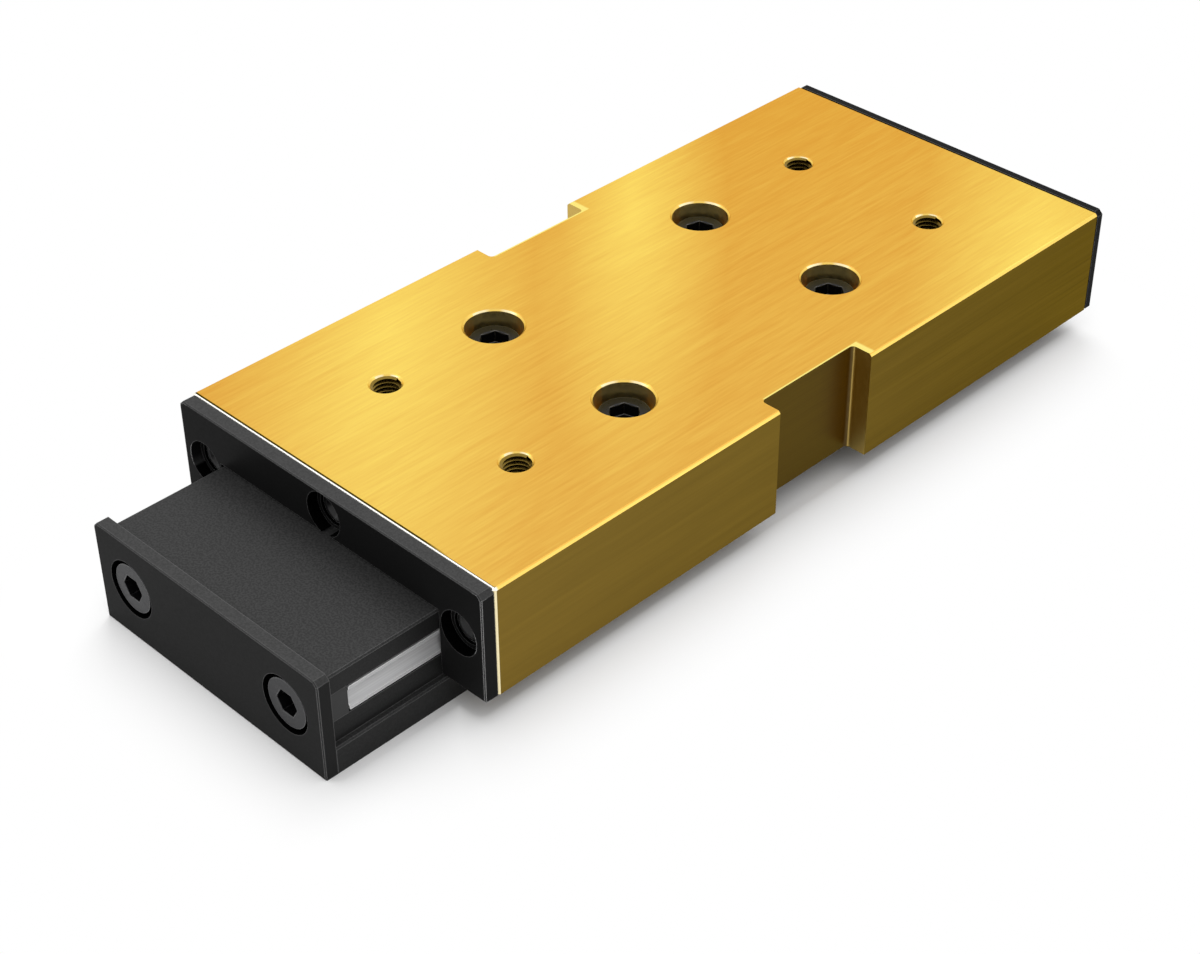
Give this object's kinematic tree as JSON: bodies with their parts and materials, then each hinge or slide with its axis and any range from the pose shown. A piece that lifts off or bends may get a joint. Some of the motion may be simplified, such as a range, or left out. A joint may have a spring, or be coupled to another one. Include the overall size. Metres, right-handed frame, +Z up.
{
  "type": "pneumatic linear slide",
  "caption": "Low-profile pneumatic slide: a gold channel housing over a black ball-guided table with a tool plate on its front end, driven by an air cylinder inside.",
  "frame": {"origin": "middle of the footprint, on the slide's underside, with the slide extended", "axes": "+Y along the travel towards the rear, the tool plate faces -Y, and +Z is up from the slide's underside to the housing's top face"},
  "size_m": [0.07, 0.174, 0.0252],
  "materials": {
    "gold_anodised": "gold anodised, brushed along the length",
    "black_anodised": "black anodised, smooth",
    "blasted_black": "bead-blasted and black anodised",
    "black_steel": "black oxide",
    "clear_anodised": "clear anodised",
    "bronze": "turned bronze",
    "seal_rubber": "moulded",
    "bumper_rubber": "moulded",
    "spring_steel": "phosphated",
    "race_steel": "hardened and ground",
    "black_plastic": "moulded",
    "magnet": "sintered",
    "chromed_rod": "hard chromed and polished",
    "zinc_steel": "zinc plated",
    "cage_brass": "rolled strip",
    "ball_steel": "polished"
  },
  "bodies": {
    "housing": {"housing_block": "gold_anodised", "front_end_plate": "black_anodised", "rear_end_plate": "black_anodised", "front_plate_screws": "black_steel", "rear_plate_screws": "black_steel", "cylinder_block": "clear_anodised", "cylinder_screws": "black_steel", "rod_gland": "bronze", "rod_seal": "seal_rubber", "gland_circlip": "spring_steel", "cylinder_end_cap": "clear_anodised", "end_cap_seal": "seal_rubber", "end_cap_circlip": "spring_steel", "air_passage_seals": "seal_rubber", "front_bumper": "bumper_rubber", "rear_bumper": "bumper_rubber", "left_outer_race": "race_steel", "right_outer_race": "race_steel"},
    "slide": {"slide_rail": "blasted_black", "tool_plate": "black_anodised", "tool_plate_screws": "black_steel", "left_inner_race": "race_steel", "right_inner_race": "race_steel", "race_end_stops": "black_plastic", "piston": "clear_anodised", "piston_seal": "seal_rubber", "piston_magnet": "magnet", "piston_rod": "chromed_rod", "rod_lock_nut": "zinc_steel"},
    "left_cage": {"left_ball_cage": "cage_brass", "left_balls": "ball_steel"},
    "right_cage": {"right_ball_cage": "cage_brass", "right_balls": "ball_steel"}
  },
  "joints": [
    {"name": "slide_travel", "type": "slide", "parent": "housing", "child": "slide", "axis": [0, 1, 0], "range_m": [0, 0.02]},
    {"name": "left_cage_travel", "type": "slide", "parent": "housing", "child": "left_cage", "axis": [0, 1, 0], "range_m": [0, 0.01]},
    {"name": "right_cage_travel", "type": "slide", "parent": "housing", "child": "right_cage", "axis": [0, 1, 0], "range_m": [0, 0.01]}
  ],
  "couplings": [
    {"joint": "left_cage_travel", "follows": "slide_travel", "ratio": 0.5},
    {"joint": "right_cage_travel", "follows": "slide_travel", "ratio": 0.5}
  ]
}
